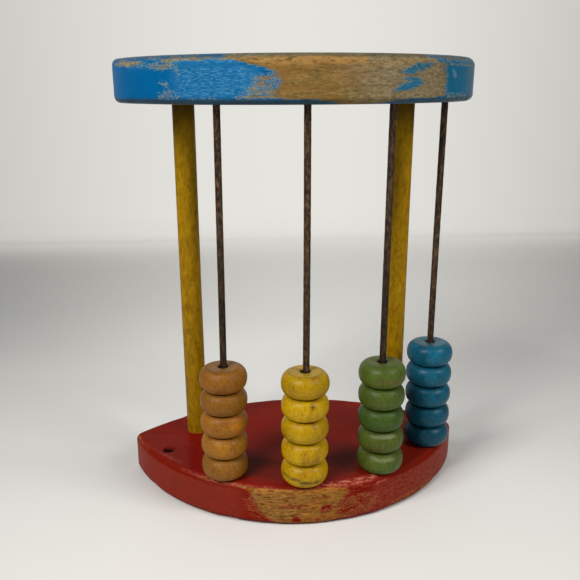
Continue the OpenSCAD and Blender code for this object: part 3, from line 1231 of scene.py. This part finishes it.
def sweep_material():
    """Pale paper. Its floor is lit and keeps the shadow, with painted falloff and painted red light
    thrown back by the base, and its wall is a painted glow that shows as written to the camera.
    """
    finish = Finish("studio_paper")
    place = finish.add("ShaderNodeTexCoord").outputs["Object"]
    parts = finish.add("ShaderNodeSeparateXYZ", {"Vector": place}).outputs
    depth = finish.math("ADD", parts["Y"], 0.2)
    # Painted light: the floor's brightness by depth and its falling off to the sides stand in for how the
    # lamps light it, and its warmer front for red light thrown back by the base
    tones = (
        (0.08, 0.778), (0.15, 0.744), (0.21, 0.68), (0.27, 0.72), (0.33, 0.737), (0.39, 0.757),
        (0.46, 0.72), (0.57, 0.72), (0.64, 0.722), (0.7, 0.755), (0.78, 0.85),
    )
    stops = []
    for at, tone in tones:
        painted_bounce = max(0.0, 0.24 - at) * 0.12
        stops.append((at, (tone * (1 + painted_bounce), tone * 0.985, tone * (0.94 - painted_bounce))))
    floor = finish.ramp(depth, *stops)
    narrowing = (
        (0.08, 0.5), (0.16, 0.38), (0.34, 0.42), (0.4, 0.8), (0.5, 0.82), (0.6, 0.62), (0.7, 0.4),
        (0.78, 0.12),
    )
    falloff = finish.ramp(depth, *((at, (share, share, share)) for at, share in narrowing))
    beyond = finish.math("SUBTRACT", depth, 0.24, clamp=True)
    centre = finish.math("MINIMUM", finish.times(beyond, 0.22), 0.1)
    dimmed = dimmed_aside(finish, parts["X"], centre, finish.times(falloff, 10.0))
    colour = finish.mix(dimmed, (0.0, 0.0, 0.0), floor)
    finish.set(Base_Color=colour, Roughness=0.9, Specular_IOR_Level=0.1)

    # Painted light: the wall glows, darker to the sides, for camera, glossy and transmission rays, in
    # place of lit paper
    wall_dim = dimmed_aside(finish, parts["X"], 0.045, 2.0)
    wall = finish.mix(wall_dim, (0.0, 0.0, 0.0), srgb(230, 228, 222))
    glow = finish.add("ShaderNodeEmission", {"Color": wall}).outputs[0]
    rays = finish.add("ShaderNodeLightPath").outputs
    seen = finish.math("MAXIMUM", rays["Is Camera Ray"], rays["Is Glossy Ray"])
    seen = finish.math("MAXIMUM", seen, rays["Is Transmission Ray"])
    height = finish.between(parts["Z"], 0.0, 0.035)
    lit = finish.shader.outputs["BSDF"]
    mixed = finish.add("ShaderNodeMixShader", {0: finish.times(seen, height), 1: lit, 2: glow})
    finish.put(finish.tree.nodes["Material Output"].inputs["Surface"], mixed.outputs[0])
    return finish.material


def studio_sweep(width, near, far, height, curve):
    """Floor that curves up into a wall, as one smooth sheet."""
    steps = 10
    line = [(near, 0.0), (0.0, 0.0), (far - curve, 0.0)]
    for step in range(1, steps + 1):
        angle = math.pi / 2 * step / steps
        line.append((far - curve + curve * math.sin(angle), curve * (1 - math.cos(angle))))
    line.append((far, height))
    points = [(side * width, y, z) for y, z in line for side in (-1, 1)]
    faces = [(2 * row, 2 * row + 1, 2 * row + 3, 2 * row + 2) for row in range(len(line) - 1)]
    return new_piece("studio_sweep", points, faces)


def add_lamp(name, place, target, size, watts):
    lamp = bpy.data.lights.new(name, "AREA")
    lamp.shape, lamp.size, lamp.energy = "SQUARE", size, watts
    holder = bpy.data.objects.new(name, lamp)
    holder.location = place
    holder.rotation_euler = (Vector(target) - Vector(place)).to_track_quat("-Z", "Y").to_euler()
    bpy.context.scene.collection.objects.link(holder)


class StudioSettings(PropertyGroup):
    focal_px: FloatProperty(
        name="Focal length", description="Focal length in pixels of the photograph's frame",
        default=700.75, min=100,
    )
    camera_place: FloatVectorProperty(
        name="Camera place", description="Where the camera stands", subtype="TRANSLATION", unit="LENGTH",
        default=(-30.39 * MM, -357.34 * MM, 205.13 * MM), precision=5,
    )
    yaw: angle_setting("Yaw", "Turn of the camera to the right of straight ahead", 0.07698)
    pitch: angle_setting("Pitch", "Tilt of the camera below the horizon", 0.28248)
    roll: angle_setting("Roll", "Turn of the camera about its own line of sight", -0.00143)
    key_watts: FloatProperty(
        name="Key lamp", description="Power of the left lamp", unit="POWER", default=11.5,
    )
    fill_watts: FloatProperty(
        name="Fill lamp", description="Power of the right lamp", unit="POWER", default=6.6,
    )
    room_light: FloatProperty(
        name="Room light", description="Strength of the light from all round", default=0.2, min=0,
    )


def add_camera(settings):
    """Camera at the photograph's angle, from its place, yaw, pitch and roll."""
    ahead = Vector((
        math.sin(settings.yaw) * math.cos(settings.pitch),
        math.cos(settings.yaw) * math.cos(settings.pitch),
        -math.sin(settings.pitch),
    ))
    right = Vector((math.cos(settings.yaw), -math.sin(settings.yaw), 0))
    up = right.cross(ahead)
    tilted_right = right * math.cos(settings.roll) + up * math.sin(settings.roll)
    tilted_up = up * math.cos(settings.roll) - right * math.sin(settings.roll)
    data = bpy.data.cameras.new("camera")
    data.sensor_width = SENSOR
    data.lens = SENSOR * settings.focal_px / PHOTO_SIZE
    camera = bpy.data.objects.new("camera", data)
    matrix = camera.matrix_world
    for column, axis in enumerate((tilted_right, tilted_up, -ahead)):
        for row in range(3):
            matrix[row][column] = axis[row]
    for row in range(3):
        matrix[row][3] = settings.camera_place[row]
    camera.matrix_world = matrix
    bpy.context.scene.collection.objects.link(camera)
    bpy.context.scene.camera = camera


class ABACUS_OT_studio(Operator):
    """Make the pale sweep, the lamps and the camera"""

    bl_idname = "abacus.studio"
    bl_label = "Make Studio"

    def execute(self, context):
        settings = context.scene.abacus_studio
        sweep = studio_sweep(width=2.6, near=-1.6, far=0.635, height=1.8, curve=0.03)
        for face in sweep.data.polygons:
            face.use_smooth = True
        sweep.data.materials.append(sweep_material())
        target = (0.0, 0.0, 0.1)
        add_lamp("key_lamp", (-0.62, -0.6, 0.92), target, 0.45, settings.key_watts)
        add_lamp("fill_lamp", (0.76, -0.55, 0.88), target, 0.42, settings.fill_watts)
        world = bpy.data.worlds.new("room")
        world.use_nodes = True
        background = world.node_tree.nodes["Background"]
        background.inputs["Color"].default_value = (0.95, 0.97, 1.0, 1.0)
        background.inputs["Strength"].default_value = settings.room_light
        context.scene.world = world
        context.scene.view_settings.view_transform = "Standard"
        add_camera(settings)
        return {"FINISHED"}


# Panel and registration

OPERATORS = (
    ABACUS_OT_studio,
    ABACUS_OT_base_board,
    ABACUS_OT_top_board,
    ABACUS_OT_posts,
    ABACUS_OT_wires,
    ABACUS_OT_beads,
)
SETTINGS = {
    "abacus_boards": BoardSettings,
    "abacus_dowels": DowelSettings,
    "abacus_wires": WireSettings,
    "abacus_beads": BeadSettings,
    "abacus_studio": StudioSettings,
}


class ABACUS_PT_sidebar(Panel):
    """Sizes, colours and buttons of the toy abacus"""

    bl_idname = "ABACUS_PT_sidebar"
    bl_label = "Toy Abacus"
    bl_space_type = "VIEW_3D"
    bl_region_type = "UI"
    bl_category = "Abacus"

    def draw(self, context):
        for group in SETTINGS:
            settings = getattr(context.scene, group)
            box = self.layout.box()
            for name in settings.bl_rna.properties.keys():
                if name not in ("rna_type", "name"):
                    box.prop(settings, name)
        for operator in OPERATORS:
            self.layout.operator(operator.bl_idname)


CLASSES = (*SETTINGS.values(), *OPERATORS, ABACUS_PT_sidebar)


def register():
    for item in CLASSES:
        bpy.utils.register_class(item)
    for name, group in SETTINGS.items():
        setattr(bpy.types.Scene, name, PointerProperty(type=group))


def unregister():
    for name in SETTINGS:
        delattr(bpy.types.Scene, name)
    for item in reversed(CLASSES):
        bpy.utils.unregister_class(item)


def main():
    register()
    bpy.ops.abacus.studio()
    bpy.ops.abacus.base_board()
    bpy.ops.abacus.top_board()
    bpy.ops.abacus.posts()
    bpy.ops.abacus.wires()
    bpy.ops.abacus.beads()


if __name__ == "__main__":
    main()
